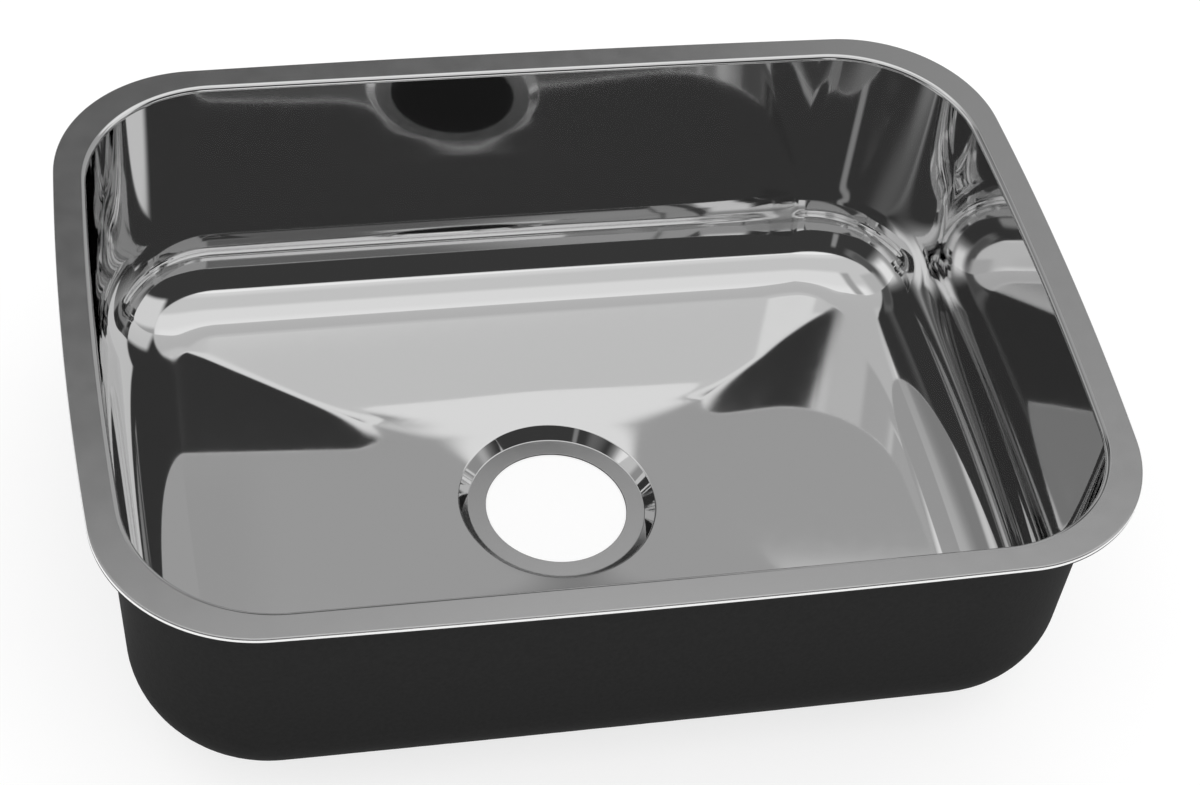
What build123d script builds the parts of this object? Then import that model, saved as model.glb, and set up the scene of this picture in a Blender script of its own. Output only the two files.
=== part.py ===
"""Undermount kitchen sink: one deep-drawn stainless bowl with an integral flange.

The long side runs along X and the side nearest the user faces -Y.  The origin is the
centre of the footprint, on the plane that the underside of the drain seat stands on.
"""

import math
import os

from build123d import *

# ---- driving dimensions, in millimetres and degrees ----

# The pressing
sheet = 1.0
length = 600.0
width = 450.0
flange_width = 19.5         # at the middle of each side
outer_corner_radius = 90.0
opening_corner_radius = 82.0
bowl_depth = 169.4          # flange top to the edge of the floor
wall_draft = 1.15           # lean of the walls, which open upward
throat_radius = 3.1         # round-over from the flange into the wall
floor_radius = 51.5         # big round between wall and floor

# How far the middle of each side stands out beyond its virtual corners
outer_long_bow = 4.0
outer_short_bow = 10.0
opening_long_bow = 1.0
opening_short_bow = 8.0

# Turned-down edge of the flange
lip_drop = 3.2
lip_radius = 2.2

# Drain
floor_fall = 10.0           # edge of the floor to the point its four slopes aim at
hole_radius = 44.5          # standard hole for a basket strainer
seat_radius = 56.0          # outer edge of the flat ring that the strainer seats on
seat_drop = 13.6            # edge of the floor to the seat
rim_radius = 62.5
rim_height = 6.9            # seat to the level at which the recess has the rim radius
rim_round = 1.6
seat_round = 0.8

# Coating and pads on the outside
coat_thickness = 0.8
coat_top_gap = 6.0          # bare strip left under the flange for the worktop clips
coat_hole_gap = 8.0         # bare ring left around the drain boss
pad_thickness = 2.5
pad_length = 110.0
pad_width = 200.0
pad_corner_radius = 15.0
pad_gap = 14.0              # edge of the coating's hole to a pad

# ---- levels and radii that follow from them ----

flange_top = bowl_depth + seat_drop + sheet
coat_hole_radius = rim_radius + coat_hole_gap
pad_offset = coat_hole_radius + pad_gap + pad_length / 2
draft = math.radians(wall_draft)
recess_slope = math.atan2(rim_radius - seat_radius, rim_height)


def bowed_outline(across, along, short_bow, long_bow, corner_radius):
    """Sketch of the given middle sizes, its sides bowed and its corners round."""
    half_x, half_y = across / 2, along / 2
    edge_x, edge_y = half_x - short_bow, half_y - long_bow
    corners = [(edge_x, edge_y), (-edge_x, edge_y), (-edge_x, -edge_y), (edge_x, -edge_y)]
    middles = [(0, half_y), (-half_x, 0), (0, -half_y), (half_x, 0)]
    with BuildSketch() as outline:
        with BuildLine():
            for start, middle, end in zip(corners, middles, corners[1:] + corners[:1]):
                ThreePointArc(start, middle, end)
        make_face()
        fillet(outline.vertices(), corner_radius)
    return outline.sketch


def inset(outline, distance):
    """The same outline with every arc drawn in toward the middle by distance."""
    with BuildSketch() as drawn_in:
        with BuildLine():
            for edge in outline.wire().edges():
                centre = edge.arc_center
                points = [edge @ place for place in (0, 0.5, 1)]
                ThreePointArc(*[p + (centre - p).normalized() * distance for p in points])
        make_face()
    return drawn_in.sketch


plate = bowed_outline(length, width, outer_short_bow, outer_long_bow, outer_corner_radius)
opening = bowed_outline(length - 2 * flange_width, width - 2 * flange_width,
                        opening_short_bow, opening_long_bow, opening_corner_radius)


def bowl_form(growth):
    """Solid that fills the bowl down to its floor, its faces moved outward by growth."""
    depth = bowl_depth + growth
    floor_level = flange_top - depth
    lean = depth * math.tan(draft)
    run_in = (floor_radius + growth) * math.tan(math.pi / 4 - draft / 2)
    floor_edge = inset(opening, lean + run_in - growth)
    fade = 0.2              # the slopes end inside the recess, short of their aiming point
    with BuildPart() as form:
        with BuildSketch(Plane.XY.offset(flange_top)):
            add(inset(opening, -growth))
        with BuildSketch(Plane.XY.offset(floor_level)):
            add(inset(opening, lean - growth))
        loft(ruled=True)
        fillet(form.faces().sort_by(Axis.Z)[0].edges(), floor_radius + growth)
        with BuildSketch(Plane.XY.offset(floor_level)):
            add(floor_edge)
        with BuildSketch(Plane.XY.offset(floor_level - floor_fall * (1 - fade))):
            add(scale(floor_edge, fade))
        loft(ruled=True)
    return form.part


def cavity(growth):
    """The filled bowl together with its drain recess, whose two bends are rounded."""
    spread = growth * math.tan(math.pi / 4 - recess_slope / 2)
    reach = rim_height * 2
    with BuildPart() as form:
        add(bowl_form(growth))
        with Locations((0, 0, sheet - growth)):
            Cone(seat_radius + spread, seat_radius + spread + reach * math.tan(recess_slope),
                 reach, align=(Align.CENTER, Align.CENTER, Align.MIN))
        fillet(form.faces().sort_by(Axis.Z)[0].edges(), seat_round + growth)
        near = (rim_radius - seat_radius) / 2
        rim = form.edges().filter_by(
            lambda edge: abs(math.hypot((edge @ 0.5).X, (edge @ 0.5).Y) - rim_radius) < near
        )
        fillet(rim, rim_round - growth)
    return form.part


# ---- the pressing ----

# Space under the flange, closed at its sides by the turned-down edge
with BuildPart() as flange_hollow:
    with BuildSketch(Plane.XY.offset(flange_top - lip_drop)):
        add(inset(plate, sheet))
    extrude(amount=lip_drop - sheet)
    fillet(flange_hollow.faces().sort_by(Axis.Z)[-1].edges(), lip_radius - sheet)

with BuildPart() as bowl:
    with BuildSketch(Plane.XY.offset(flange_top - lip_drop)):
        add(plate)
    extrude(amount=lip_drop)
    fillet(bowl.faces().sort_by(Axis.Z)[-1].edges(), lip_radius)
    add(flange_hollow.part, mode=Mode.SUBTRACT)
    add(cavity(sheet))
    underside = bowl.faces().filter_by_position(Axis.Z, flange_top - sheet, flange_top - sheet)[0]
    fillet(underside.inner_wires()[0].edges(), throat_radius - sheet)
    add(cavity(0), mode=Mode.SUBTRACT)
    fillet(bowl.faces().sort_by(Axis.Z)[-1].inner_wires()[0].edges(), throat_radius)
    with Locations((0, 0, sheet / 2)):
        Cylinder(hole_radius, sheet, mode=Mode.SUBTRACT)
bowl.part.label = "bowl"

# ---- coating sprayed on the outside, and the pads bonded over it ----

skin = sheet + coat_thickness
with BuildPart() as undercoat:
    add(bowl_form(skin))
    add(bowl_form(sheet), mode=Mode.SUBTRACT)
    with BuildSketch(Plane.XY.offset(flange_top)):
        Rectangle(length, width)
    extrude(amount=-coat_top_gap - sheet, mode=Mode.SUBTRACT)
    with BuildSketch():
        Circle(coat_hole_radius)
    extrude(amount=flange_top, mode=Mode.SUBTRACT)
undercoat.part.label = "undercoat"


def pad_at(x):
    """Pad centred under the floor at x, shaped to the coating it is bonded to."""
    with BuildPart() as pad:
        with BuildSketch():
            with Locations((x, 0)):
                RectangleRounded(pad_length, pad_width, pad_corner_radius)
        extrude(amount=flange_top - bowl_depth)
        add(bowl_form(skin + pad_thickness), mode=Mode.INTERSECT)
        add(bowl_form(skin), mode=Mode.SUBTRACT)
    return pad


pad_left = pad_at(-pad_offset)
pad_right = pad_at(pad_offset)
pad_left.part.label = "pad_left"
pad_right.part.label = "pad_right"

os.makedirs("parts", exist_ok=True)
export_step(bowl.part, "parts/bowl.step")
export_step(undercoat.part, "parts/undercoat.step")
export_step(pad_left.part, "parts/pad_left.step")
export_step(pad_right.part, "parts/pad_right.step")
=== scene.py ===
"""Looks for the undermount sink: pressed steel, its coating and pads, and a studio that the steel mirrors."""
import math

import bpy
import numpy as np
from mathutils import Matrix


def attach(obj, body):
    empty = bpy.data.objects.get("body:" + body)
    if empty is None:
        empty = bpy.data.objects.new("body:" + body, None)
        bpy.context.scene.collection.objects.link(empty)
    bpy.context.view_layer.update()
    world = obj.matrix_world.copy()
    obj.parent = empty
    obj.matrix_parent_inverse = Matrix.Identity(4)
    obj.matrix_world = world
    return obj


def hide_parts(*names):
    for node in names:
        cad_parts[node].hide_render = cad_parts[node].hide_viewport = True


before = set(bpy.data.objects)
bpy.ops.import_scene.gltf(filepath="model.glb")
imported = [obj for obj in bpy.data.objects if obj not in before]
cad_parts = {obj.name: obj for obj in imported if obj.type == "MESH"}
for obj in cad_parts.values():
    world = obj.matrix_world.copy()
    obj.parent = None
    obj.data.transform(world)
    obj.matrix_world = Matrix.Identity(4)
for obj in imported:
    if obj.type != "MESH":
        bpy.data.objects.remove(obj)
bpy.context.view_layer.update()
bpy.context.scene.view_settings.view_transform = "Standard"
MM = 0.001

# ---------------------------------------------------------------- camera
AZIMUTH, ELEVATION, ROLL = map(math.radians, (17.67, 46.74, 8.69))
IMAGE_WIDTH, FOCAL_PIXELS = 1200, 2732.22
SENSOR = 36
PLACE = (-0.32607, -1.07746, 1.30716)


def set_camera():
    ahead = np.array([math.sin(AZIMUTH) * math.cos(ELEVATION), math.cos(AZIMUTH) * math.cos(ELEVATION),
                      -math.sin(ELEVATION)])
    right = np.cross(ahead, (0, 0, 1))
    right /= np.linalg.norm(right)
    up = np.cross(right, ahead)
    c, s = math.cos(ROLL), math.sin(ROLL)
    right, up = c * right + s * up, c * up - s * right
    data = bpy.data.cameras.new("view")
    data.sensor_fit = "HORIZONTAL"
    data.sensor_width = SENSOR
    data.lens = FOCAL_PIXELS / IMAGE_WIDTH * SENSOR
    data.clip_start, data.clip_end = 0.05, 60
    camera = bpy.data.objects.new("view", data)
    rows = [[right[i], up[i], -ahead[i], PLACE[i]] for i in range(3)]
    camera.matrix_world = Matrix(rows + [[0, 0, 0, 1]])
    bpy.context.scene.collection.objects.link(camera)
    bpy.context.scene.camera = camera


set_camera()

# ---------------------------------------------------------------- dimensions of the pressing, in mm
HALF_LENGTH, HALF_WIDTH, FLANGE = 300.0, 225.0, 19.5
CLEAR = 0.05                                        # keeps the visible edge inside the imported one
SHEET = 1.0
TOP, FLOOR, SEAT = 184.0, 14.6, 1.0                 # levels of flange, edge of the floor, and drain seat
EDGE_BEND, EDGE_DROP, BARE_DROP = 1.2, 3.2, 2.2     # turned-down edge, bare steel down to BARE_DROP
THROAT, ROUND, DRAFT = 3.1, 51.5, math.radians(1.15)
RIM_R, RIM_HEIGHT, RIM_BEND = 62.5, 6.9, 1.6        # where the floor turns down into the drain recess
SEAT_R, SEAT_BEND = 56.0, 0.8
HOLE, HOLE_BEND = 44.5, 0.3

FALL = 10.0                                         # edge of the floor to the point its four slopes aim at
MIDDLE, MIDDLE_EASE, MIDDLE_FLAT = 0.51, 0.13, 0.50     # where the slopes ease, over how much, by what share
DIP, DIP_REACH = 0.5, 16.0
CREASE_SOFT, CREASE_SHARP = 20, 80                  # creases near the drain and toward the corners
CREASE_FROM, CREASE_OVER = 0.48, 0.2
FLOOR_BLEND = 0.08                                  # share of the floor over which it meets the big round
PROBE = 0.5                                         # half the distance over which a slope is taken

# half length, half width, bows of the short and the long sides, corner radius
OUTER = (HALF_LENGTH - CLEAR, HALF_WIDTH - CLEAR, 10.0, 4.0, 90.0)
OPENING = (HALF_LENGTH - FLANGE, HALF_WIDTH - FLANGE, 8.0, 1.0, 82.0)

CORNER_STEPS, SIDE_STEPS = 40, 30


def outline(form, inset):
    """Points of a bowed rectangle with round corners, drawn in by inset, and their outward normals."""
    half_x, half_y, bow_x, bow_y, corner = form
    edge_x, edge_y = half_x - bow_x, half_y - bow_y
    big_x = (edge_y ** 2 + bow_x ** 2) / (2 * bow_x)
    big_y = (edge_x ** 2 + bow_y ** 2) / (2 * bow_y)
    a, b = half_x - big_x, half_y - big_y
    # centre of the corner arc, moved until the arc touches both sides
    u, v = half_x - corner, half_y - corner
    for _ in range(50):
        to_x, to_y = math.hypot(u - a, v), math.hypot(u, v - b)
        wrong = [to_x - (big_x - corner), to_y - (big_y - corner)]
        step = np.linalg.solve([[(u - a) / to_x, v / to_x], [u / to_y, (v - b) / to_y]], wrong)
        u, v = u - step[0], v - step[1]
    first, second = math.atan2(v, u - a), math.atan2(v - b, u)
    parts = []
    for centre, radius, start, end, steps in (((a, 0), big_x, 0, first, SIDE_STEPS),
                                              ((u, v), corner, first, second, CORNER_STEPS),
                                              ((0, b), big_y, second, math.pi / 2, SIDE_STEPS)):
        t = np.linspace(start, end, steps, endpoint=False)
        n = np.c_[np.cos(t), np.sin(t)]
        parts.append(np.c_[np.array(centre) + (radius - inset) * n, n])
    quarter = np.vstack(parts)
    top_point = np.array([[0, b + big_y - inset, 0, 1]])
    mirror_x = quarter[::-1][:-1] * (-1, 1, -1, 1)
    upper = np.vstack([quarter, top_point, mirror_x, [[-(a + big_x - inset), 0, -1, 0]]])
    lower = upper[1:-1][::-1] * (1, -1, 1, -1)
    ring = np.vstack([upper, lower])
    return ring[:, :2], ring[:, 2:]


OPENING_XY, OPENING_N = outline(OPENING, 0)
FLOOR_INSET = (TOP - FLOOR) * math.tan(DRAFT) + ROUND * math.tan(math.pi / 4 - DRAFT / 2)
FLOOR_EDGE = OPENING_XY - OPENING_N * FLOOR_INSET
FLOOR_HALF_X, FLOOR_HALF_Y = FLOOR_EDGE[:, 0].max(), FLOOR_EDGE[:, 1].max()


def level(xy):
    """Height of the floor: four planes with soft creases, a flatter middle, and a dip around the drain."""
    x, y = xy[:, 0], xy[:, 1]
    across, along = np.abs(x) / FLOOR_HALF_X, np.abs(y) / FLOOR_HALF_Y
    sharp = np.clip((np.maximum(across, along) - CREASE_FROM) / CREASE_OVER, 0, 1)
    steep = CREASE_SOFT + (CREASE_SHARP - CREASE_SOFT) * sharp * sharp * (3 - 2 * sharp)
    ramp = np.logaddexp(across * steep, along * steep) / steep
    into = np.clip(MIDDLE - ramp, 0, None)
    eased = np.where(into < MIDDLE_EASE, into ** 2 / (2 * MIDDLE_EASE), into - MIDDLE_EASE / 2)
    dip = DIP * np.exp(-(np.hypot(x, y) - RIM_R) / DIP_REACH)
    return FLOOR - FALL * (1 - ramp) + FALL * MIDDLE_FLAT * eased - dip


def slope(xy, direction):
    """Rise of the floor per mm along a direction."""
    return (level(xy + PROBE * direction) - level(xy - PROBE * direction)) / (2 * PROBE)


class Skin:
    """Rings of points with normals, from the outside of the sheet's edge in to the drain."""

    def __init__(self):
        self.points, self.normals = [], []

    def add(self, xy, z, outward, lean):
        """lean is the angle of the surface normal from straight up, toward the middle of the bowl."""
        z = np.broadcast_to(z, (len(xy),))
        lean = np.broadcast_to(lean, (len(xy),))
        self.points.append(np.c_[xy, z])
        self.normals.append(np.c_[-outward * np.sin(lean)[:, None], np.cos(lean)])

    def last(self):
        return len(self.points) - 1


def add_flange(skin):
    """Turned-down edge, its bend, and the flat flange up to the throat."""
    xy, n = outline(OUTER, 0)
    for z in (TOP - EDGE_DROP, TOP - BARE_DROP):
        skin.add(xy, z, n, -math.pi / 2)
    for a in np.linspace(math.pi / 2, 0, 9):
        xy, n = outline(OUTER, EDGE_BEND * (1 - math.sin(a)))
        skin.add(xy, TOP - EDGE_BEND * (1 - math.cos(a)), n, -a)
    outer_xy, outer_n = outline(OUTER, EDGE_BEND)
    inner_xy, _ = outline(OPENING, -THROAT * math.tan((math.pi / 2 - DRAFT) / 2))
    for s in np.linspace(0, 1, 7)[1:-1]:
        skin.add(outer_xy + (inner_xy - outer_xy) * s, TOP, outer_n, 0)


def add_wall(skin):
    """Round-over of the throat and the wall below it."""
    turn = math.pi / 2 - DRAFT
    reach = THROAT * math.tan(turn / 2)
    rows = []
    for a in np.linspace(0, turn, 12):
        rows.append((THROAT * math.sin(a) - reach, TOP - THROAT * (1 - math.cos(a)), a))
    start_inset, start_z, _ = rows[-1]
    end_z = FLOOR + ROUND - ROUND * math.sin(DRAFT) + 1.0
    for s in np.linspace(0, 1, 10)[1:]:
        z = start_z + (end_z - start_z) * s
        rows.append((start_inset + (start_z - z) * math.tan(DRAFT), z, turn))
    for inset, z, lean in rows:
        xy, n = outline(OPENING, inset)
        skin.add(xy, z, n, lean)


def add_round(skin):
    """Big round: a ball's path against the wall and the sloping floor, solved all along the outline."""
    fall = np.arctan(slope(FLOOR_EDGE, OPENING_N))
    wall = np.array([math.cos(DRAFT), math.sin(DRAFT)])
    det = wall[0] * np.cos(fall) - wall[1] * np.sin(fall)
    from_wall = ROUND + wall[1] * TOP
    from_floor = ROUND + FLOOR_INSET * np.sin(fall) + level(FLOOR_EDGE) * np.cos(fall)
    ball_inset = (from_wall * np.cos(fall) - wall[1] * from_floor) / det
    ball_z = (wall[0] * from_floor - np.sin(fall) * from_wall) / det
    for s in np.linspace(0, 1, 40)[1:]:
        lean = (math.pi / 2 - DRAFT) * (1 - s) + fall * s
        inset, z = ball_inset - ROUND * np.sin(lean), ball_z - ROUND * np.cos(lean)
        skin.add(OPENING_XY - OPENING_N * inset[:, None], z, OPENING_N, lean)


def add_floor_and_recess(skin):
    """The floor in to the rim, then the rim's bend, the recess's wall, and the seat with its bend."""
    edge = skin.points[-1][:, :2]
    angle = np.arctan2(edge[:, 1], edge[:, 0])
    ray = np.c_[np.cos(angle), np.sin(angle)]
    spread = (RIM_R - SEAT_R) / RIM_HEIGHT
    recess = math.atan2(1, spread)
    # where the recess's cone meets the floor on every ray
    rim = np.full(len(ray), RIM_R)
    for _ in range(30):
        rim = SEAT_R + spread * (level(rim[:, None] * ray) - SEAT)
    tilt = np.arctan(slope(rim[:, None] * ray, ray))
    bend_r = rim + RIM_BEND * np.tan((recess - tilt) / 2) * np.cos(tilt)
    start = bend_r[:, None] * ray

    # floor
    gap = skin.points[-1][:, 2] - level(edge)
    for s in np.linspace(0, 1, 58)[1:]:
        xy = edge + (start - edge) * s
        z = level(xy) + gap * max(0.0, 1 - s / FLOOR_BLEND) ** 2
        normal = np.c_[-slope(xy, np.array([1, 0])), -slope(xy, np.array([0, 1])), np.ones(len(xy))]
        skin.points.append(np.c_[xy, z])
        skin.normals.append(normal / np.linalg.norm(normal, axis=1)[:, None])

    # rim: centre below the surface, turning from the floor's tilt to the recess's slope
    centre_r = bend_r + RIM_BEND * np.sin(tilt)
    centre_z = skin.points[-1][:, 2] - RIM_BEND * np.cos(tilt)
    for s in np.linspace(0, 1, 6)[1:]:
        a = tilt + (recess - tilt) * s
        skin.add((centre_r - RIM_BEND * np.sin(a))[:, None] * ray, centre_z + RIM_BEND * np.cos(a), ray, a)

    # wall of the recess
    end_r, end_z = centre_r - RIM_BEND * math.sin(recess), centre_z + RIM_BEND * math.cos(recess)
    foot_cut = SEAT_BEND * math.tan(recess / 2)
    foot_r, foot_z = SEAT_R + foot_cut * math.cos(recess), SEAT + foot_cut * math.sin(recess)
    for s in np.linspace(0, 1, 5)[1:]:
        skin.add((end_r + (foot_r - end_r) * s)[:, None] * ray, end_z + (foot_z - end_z) * s, ray, recess)

    # bend into the seat, the seat, and the rounded edge of the hole
    def circle(radius, z, lean):
        skin.add(np.full(len(ray), radius)[:, None] * ray, z, ray, lean)

    for s in np.linspace(0, 1, 5)[1:]:
        a = recess * (1 - s)
        circle(SEAT_R - foot_cut + SEAT_BEND * math.sin(a), SEAT + SEAT_BEND * (1 - math.cos(a)), a)
    seat_start = skin.last()
    for radius in (53.0, 50.0, 47.0, HOLE + HOLE_BEND):
        circle(radius, SEAT, 0)
    for a in (math.pi / 4, math.pi / 2):
        circle(HOLE + HOLE_BEND * (1 - math.sin(a)), SEAT - HOLE_BEND * (1 - math.cos(a)), a)
    return seat_start


def build_skin():
    """Points and normals of all rings, and the rings where the throat and the seat start."""
    skin = Skin()
    add_flange(skin)
    throat_start = skin.last() + 1
    add_wall(skin)
    add_round(skin)
    seat_start = add_floor_and_recess(skin)
    points, normals = np.array(skin.points), np.array(skin.normals)
    # normals made square to the run of each ring
    run = np.roll(points, -1, axis=1) - np.roll(points, 1, axis=1)
    run /= np.linalg.norm(run, axis=2)[..., None]
    normals -= run * (normals * run).sum(axis=2)[..., None]
    normals /= np.linalg.norm(normals, axis=2)[..., None]
    return points, normals, throat_start, seat_start


def grid_mesh(name, sheets, materials):
    """A mesh of rings.  Each sheet is (points, normals, material of each band), with normals of its own."""
    points, faces, corner_normals, slots = [], [], [], []
    count = 0
    for rings, normals, bands in sheets:
        rows, columns = rings.shape[:2]
        points.append(rings.reshape(-1, 3))
        index = np.arange(rows * columns).reshape(rows, columns) + count
        ahead = np.roll(index, -1, axis=1)
        quads = np.stack([index[:-1], ahead[:-1], ahead[1:], index[1:]], axis=-1).reshape(-1, 4)
        faces.append(quads)
        flat = normals.reshape(-1, 3)
        corner_normals.append(flat[quads - count].reshape(-1, 3))
        slots.append(np.repeat(bands, columns))
        count += rows * columns
    mesh = bpy.data.meshes.new(name)
    mesh.from_pydata((np.vstack(points) * MM).tolist(), [], np.vstack(faces).tolist())
    mesh.polygons.foreach_set("material_index", np.concatenate(slots).astype(np.int32))
    for material in materials:
        mesh.materials.append(material)
    mesh.shade_smooth()
    mesh.normals_split_custom_set(np.vstack(corner_normals).tolist())
    mesh.update()
    thing = bpy.data.objects.new(name, mesh)
    bpy.context.scene.collection.objects.link(thing)
    return thing


# ---------------------------------------------------------------- node helpers
def maths(tree, operation, *values):
    node = tree.nodes.new("ShaderNodeMath")
    node.operation = operation
    for socket, value in zip(node.inputs, values):
        if isinstance(value, (int, float)):
            socket.default_value = value
        else:
            tree.links.new(value, socket)
    return node.outputs[0]


def ranged(tree, value, low, high, start=0.3, end=0.7):
    """low to high as the value goes from start to end."""
    node = tree.nodes.new("ShaderNodeMapRange")
    node.inputs["From Min"].default_value, node.inputs["From Max"].default_value = start, end
    node.inputs["To Min"].default_value, node.inputs["To Max"].default_value = low, high
    tree.links.new(value, node.inputs["Value"])
    return node.outputs[0]


def step_up(tree, value, start, end):
    """0 to 1, smoothly, as the value goes from start to end."""
    node = tree.nodes.new("ShaderNodeMapRange")
    node.interpolation_type = "SMOOTHSTEP"
    node.inputs["From Min"].default_value = start
    node.inputs["From Max"].default_value = end
    tree.links.new(value, node.inputs["Value"])
    return node.outputs[0]


def bare_material(name):
    """A material with an empty node tree."""
    material = bpy.data.materials.new(name)
    material.use_nodes = True
    material.node_tree.nodes.clear()
    return material, material.node_tree


# ---------------------------------------------------------------- materials
def surface_material(name):
    material, tree = bare_material(name)
    shader = tree.nodes.new("ShaderNodeBsdfPrincipled")
    out = tree.nodes.new("ShaderNodeOutputMaterial")
    tree.links.new(shader.outputs[0], out.inputs[0])
    place = tree.nodes.new("ShaderNodeTexCoord")
    return material, tree, shader, place.outputs["Object"]


def noise(tree, place, size, detail):
    """Noise with features of about size metres."""
    node = tree.nodes.new("ShaderNodeTexNoise")
    node.inputs["Scale"].default_value = 1 / size
    node.inputs["Detail"].default_value = detail
    tree.links.new(place, node.inputs["Vector"])
    return node.outputs["Fac"]


def bump(tree, shader, height, strength, distance):
    node = tree.nodes.new("ShaderNodeBump")
    node.inputs["Strength"].default_value = strength
    node.inputs["Distance"].default_value = distance
    tree.links.new(height, node.inputs["Height"])
    tree.links.new(node.outputs[0], shader.inputs["Normal"])


def two_tone(tree, shader, share, dark, light):
    """Base colour from dark to light as share goes from 0 to 1."""
    mix = tree.nodes.new("ShaderNodeMix")
    mix.data_type = "RGBA"
    factor, first, second = mix.inputs[0], mix.inputs[6], mix.inputs[7]
    first.default_value = (*dark, 1)
    second.default_value = (*light, 1)
    tree.links.new(share, factor)
    tree.links.new(mix.outputs[2], shader.inputs["Base Color"])


def steel(name, rough_low, rough_high, colour, grain=0.0):
    material, tree, shader, place = surface_material(name)
    shader.inputs["Metallic"].default_value = 1.0
    shader.inputs["Base Color"].default_value = (colour, colour, colour, 1)
    cloud = noise(tree, place, 0.012, 4.0)
    tree.links.new(ranged(tree, cloud, rough_low, rough_high), shader.inputs["Roughness"])
    if grain:
        bump(tree, shader, noise(tree, place, 0.0006, 2.0), grain, 0.00003)
    return material


def coat_material():
    """Sprayed coating with painted shade: a little darker toward the floor, in place of less light reaching
    its lower sides.
    """
    material, tree, shader, place = surface_material("sprayed_coat_painted_shade")
    shader.inputs["Roughness"].default_value = 0.9
    shader.inputs["Specular IOR Level"].default_value = 0.2
    speck = noise(tree, place, 0.0025, 4.0)
    split = tree.nodes.new("ShaderNodeSeparateXYZ")
    tree.links.new(place, split.inputs[0])
    # painted shade: the colour darkens with height toward the floor, as if light fell from above
    painted_shade_by_height = ranged(tree, split.outputs["Z"], 0.0, 0.75, 0.0, 0.17)
    share = maths(tree, "ADD", painted_shade_by_height, ranged(tree, speck, 0.0, 0.25))
    two_tone(tree, shader, share, (0.013, 0.013, 0.013), (0.030, 0.030, 0.030))
    bump(tree, shader, speck, 0.35, 0.0004)
    return material


def pad_material():
    material, tree, shader, place = surface_material("pad_rubber")
    shader.inputs["Roughness"].default_value = 0.6
    speck = noise(tree, place, 0.004, 3.0)
    two_tone(tree, shader, speck, (0.05, 0.05, 0.052), (0.07, 0.07, 0.072))
    bump(tree, shader, speck, 0.25, 0.0003)
    return material


coat, rubber = coat_material(), pad_material()

# ---------------------------------------------------------------- the pressing
SATIN, MIRROR, MILL, COAT, RUBBED = range(5)
bowl_materials = [
    steel("satin_steel", 0.20, 0.24, 0.60, 0.05),
    steel("polished_steel", 0.035, 0.05, 0.80),
    steel("mill_steel", 0.30, 0.40, 0.45, 0.2),
    coat,
    steel("rubbed_edge", 0.12, 0.24, 0.88),
]

upper, upper_n, throat_start, seat_start = build_skin()
lower = upper - SHEET * upper_n
lower[-3:, :, 2] = 0.0                      # flat underside of the seat, out to the hole
lower[-1] = upper[-1]
lower[-1, :, 2] = 0.0
# every second ring is enough for the underside
coarse = np.unique(np.append(np.arange(0, len(lower), 2), len(lower) - 1))

bands = np.full(len(upper) - 1, MIRROR)
bands[:throat_start] = SATIN
bands[seat_start:] = SATIN
bands[:5] = RUBBED                          # edge rubbed bright
bands[0] = COAT                             # coating sprayed up over the foot of the edge

edge = np.stack([lower[0], upper[0]])
down = np.zeros_like(edge)
down[..., 2] = -1
bowl = grid_mesh("sink_bowl", [
    (upper, upper_n, bands),
    (lower[coarse][::-1], -upper_n[coarse][::-1], np.full(len(coarse) - 1, MILL)),
    (edge, down, np.array([SATIN])),
    (np.stack([upper[-1], lower[-1]]), np.stack([upper_n[-1]] * 2), np.array([SATIN])),
], bowl_materials)
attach(bowl, "root")
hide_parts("bowl")

for node, material in (("undercoat", coat), ("pad_left", rubber), ("pad_right", rubber)):
    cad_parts[node].data.materials.clear()
    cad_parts[node].data.materials.append(material)

# ---------------------------------------------------------------- studio
DOME = 50.0             # metres, far enough that every part of the sink sees the same studio


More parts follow.
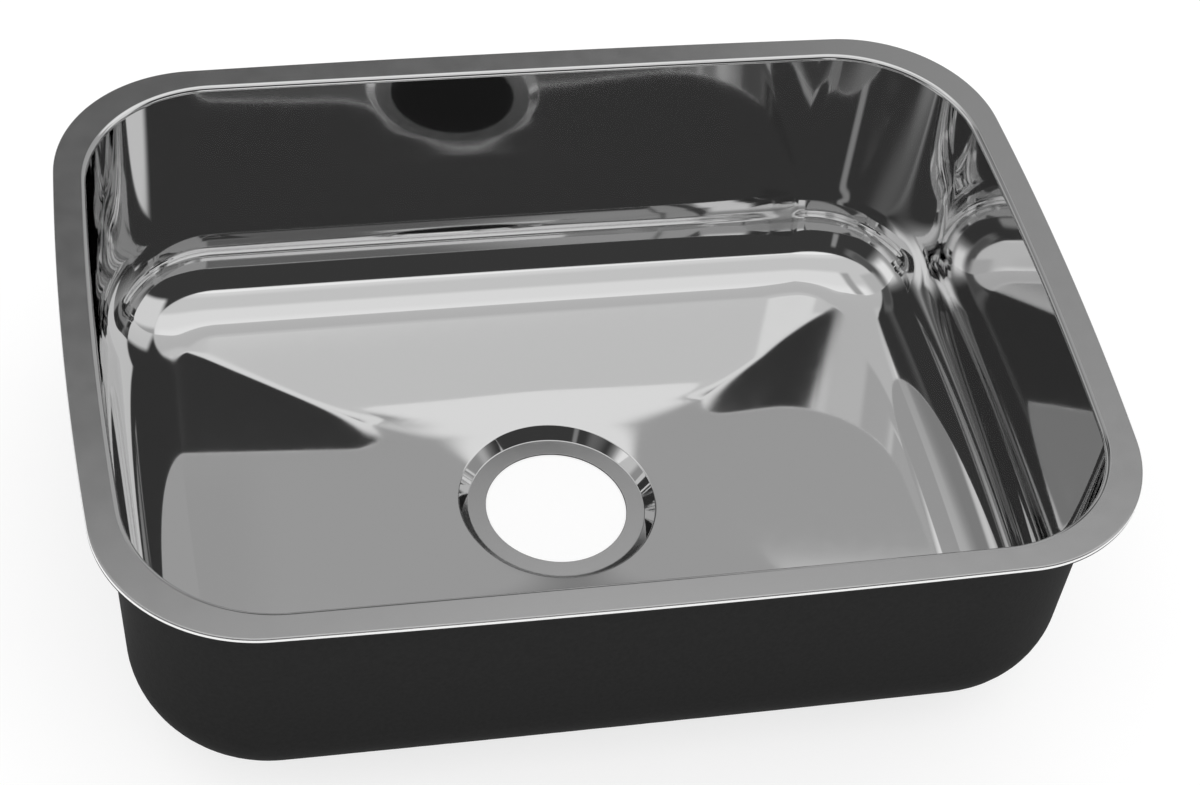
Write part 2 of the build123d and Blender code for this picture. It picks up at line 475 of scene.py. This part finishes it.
def studio_dome():
    """A big shell seen only in reflections: soft light overhead, dark flags lower down, a few strips.

    A direction is given by px and py, in degrees from overhead toward the right and the back.
    """
    bpy.ops.mesh.primitive_uv_sphere_add(segments=96, ring_count=48, radius=DOME)
    dome = bpy.context.object
    dome.name = "studio_dome"
    dome.visible_camera = dome.visible_diffuse = dome.visible_shadow = False
    dome.visible_transmission = False
    material, tree = bare_material("studio_dome")
    place = tree.nodes.new("ShaderNodeTexCoord")
    split = tree.nodes.new("ShaderNodeSeparateXYZ")
    unit = tree.nodes.new("ShaderNodeVectorMath")
    unit.operation = "NORMALIZE"
    tree.links.new(place.outputs["Object"], unit.inputs[0])
    tree.links.new(unit.outputs[0], split.inputs[0])
    x, y, z = split.outputs

    def do(operation, *values):
        return maths(tree, operation, *values)

    def both(first, second):
        return do("MULTIPLY", first, second)

    def length(first, second):
        return do("SQRT", do("ADD", both(first, first), both(second, second)))

    def degrees(first, second):
        return both(do("ARCTAN2", first, second), 180 / math.pi)

    flat = length(x, y)
    off = degrees(flat, z)                  # degrees from overhead
    turn = degrees(x, y)                    # degrees from the back
    scale = do("DIVIDE", off, do("MAXIMUM", flat, 1e-4))
    px, py = both(x, scale), both(y, scale)

    def band(value, low, high, soft):
        rise = step_up(tree, value, low - soft, low + soft)
        return both(rise, step_up(tree, value, high + soft, high - soft))

    def box(x0, x1, y0, y1, soft):
        return both(band(px, x0, x1, soft), band(py, y0, y1, soft))

    def arc(near, far, middle, half, soft, soft_turn):
        """Part of a ring around the point overhead, from near to far degrees off it."""
        aside = do("ABSOLUTE", do("WRAP", do("SUBTRACT", turn, middle), 180.0, -180.0))
        return both(band(off, near, far, soft), step_up(tree, aside, half + soft_turn, half - soft_turn))

    overhead = step_up(tree, length(do("DIVIDE", px, 46.0), do("DIVIDE", py, 37.5)), 1.025, 0.975)
    zones = [
        (arc(36, 77, 180, 72, 2, 8), 0.045),                    # dark flags around the front
        (box(44, 76, -27, 8, 3), 0.75),
        (arc(45, 54, -75, 60, 2, 8), 0.24),
        (arc(45, 54, -110, 22, 2, 8), 0.10),
        (arc(57, 69, -75, 27, 3, 6), 0.9),                      # window at the left
        (box(4, 17, 51, 64, 1.5), 0.06),                        # dark flags at the back
        (box(-14, 3.5, 41, 47.5, 2), 0.0),
        (box(2, 18, 45.5, 56, 2), 0.11),
        (box(-45, -20, 38, 48, 2), 0.24),
        (box(-48, 2, 49.5, 60, 1.5), 0.07),
        (box(5, 13, 64, 78, 2), 0.17),
        (arc(50, 70, -153, 2.5, 3, 1.5), 0.28),                 # thin strip at the front left
        (overhead, 0.66),
        (both(overhead, box(-14, 46, -10, 50, 3)), 0.84),
        (both(overhead, step_up(tree, py, -26, -32)), 0.78),
        (both(overhead, step_up(tree, py, -33, -34)), 1.0),
        (box(-30, 40, 9, 24, 5), 0.92),                         # brighter strip overhead
        (box(-33, -10, 27, 38, 2), 0.50),
        (box(-12, 9, 35, 41, 0.7), 0.36),
        (box(-22, -15, -9, 19, 2), 0.40),
        (box(-48, -33, -4, 24, 3), 0.52),
        (arc(77, 95, 180, 62, 2, 8), 0.35),
        (arc(77, 95, 145, 15, 2, 4), 0.8),
        (box(6, 20, -95, -70, 2), 0.9),
        (step_up(tree, off, 90, 96), 1.0),                      # white below the level of the floor
    ]
    total = 0.38
    for mask, strength in zones:
        # total where the mask is 0, strength where it is 1
        total = do("MULTIPLY_ADD", do("SUBTRACT", strength, total), mask, total)
    light = tree.nodes.new("ShaderNodeEmission")
    tree.links.new(total, light.inputs["Strength"])
    out = tree.nodes.new("ShaderNodeOutputMaterial")
    tree.links.new(light.outputs[0], out.inputs[0])
    dome.data.materials.append(material)


def stage_sheet(name, corners, material):
    """A flat piece of the stage, lying face up."""
    mesh = bpy.data.meshes.new(name)
    mesh.from_pydata(corners, [], [tuple(range(len(corners)))])
    mesh.materials.append(material)
    sheet = bpy.data.objects.new(name, mesh)
    bpy.context.scene.collection.objects.link(sheet)
    return sheet


def pale_floor():
    """White to the eye and in reflections, and still a surface that takes the sink's shadow."""
    reach, z = 30, -0.0005
    material, tree = bare_material("floor")
    diffuse = tree.nodes.new("ShaderNodeBsdfDiffuse")
    diffuse.inputs["Color"].default_value = (0.35, 0.35, 0.35, 1)
    glow = tree.nodes.new("ShaderNodeEmission")
    path = tree.nodes.new("ShaderNodeLightPath").outputs
    seen = maths(tree, "MAXIMUM", maths(tree, "MAXIMUM", path["Is Camera Ray"], path["Is Glossy Ray"]),
                 path["Is Transmission Ray"])
    tree.links.new(maths(tree, "MULTIPLY", seen, 0.72), glow.inputs["Strength"])
    both = tree.nodes.new("ShaderNodeAddShader")
    out = tree.nodes.new("ShaderNodeOutputMaterial")
    tree.links.new(diffuse.outputs[0], both.inputs[0])
    tree.links.new(glow.outputs[0], both.inputs[1])
    tree.links.new(both.outputs[0], out.inputs[0])
    corners = [(-reach, -reach, z), (reach, -reach, z), (reach, reach, z), (-reach, reach, z)]
    stage_sheet("floor", corners, material)


def white_world():
    """Even light on everything; reflections see the dome in its place."""
    world = bpy.data.worlds.new("studio")
    bpy.context.scene.world = world
    world.use_nodes = True
    back = world.node_tree.nodes["Background"]
    back.inputs["Color"].default_value = (1, 1, 1, 1)
    back.inputs["Strength"].default_value = 1.0
    world.cycles_visibility.glossy = False


def painted_shade_under_drain():
    """Painted shade: a dark disc under the drain, which only the polished walls see, in place of shaded space
    below the sink.
    """
    radius, z = 0.06, -0.0002
    # painted shade: a near-black sheet under the hole, hidden from the camera and seen only in reflections
    material = bpy.data.materials.new("painted_shade_disc")
    material.use_nodes = True
    shader = material.node_tree.nodes["Principled BSDF"]
    shader.inputs["Base Color"].default_value = (0.01, 0.01, 0.01, 1)
    shader.inputs["Roughness"].default_value = 0.9
    shader.inputs["Specular IOR Level"].default_value = 0.1
    turns = np.linspace(0, 2 * math.pi, 64, endpoint=False)
    rim = [(radius * math.cos(t), radius * math.sin(t), z) for t in turns]
    disc = stage_sheet("painted_shade_disc", rim, material)
    disc.visible_camera = disc.visible_diffuse = disc.visible_shadow = disc.visible_transmission = False


studio_dome()
pale_floor()
white_world()
painted_shade_under_drain()
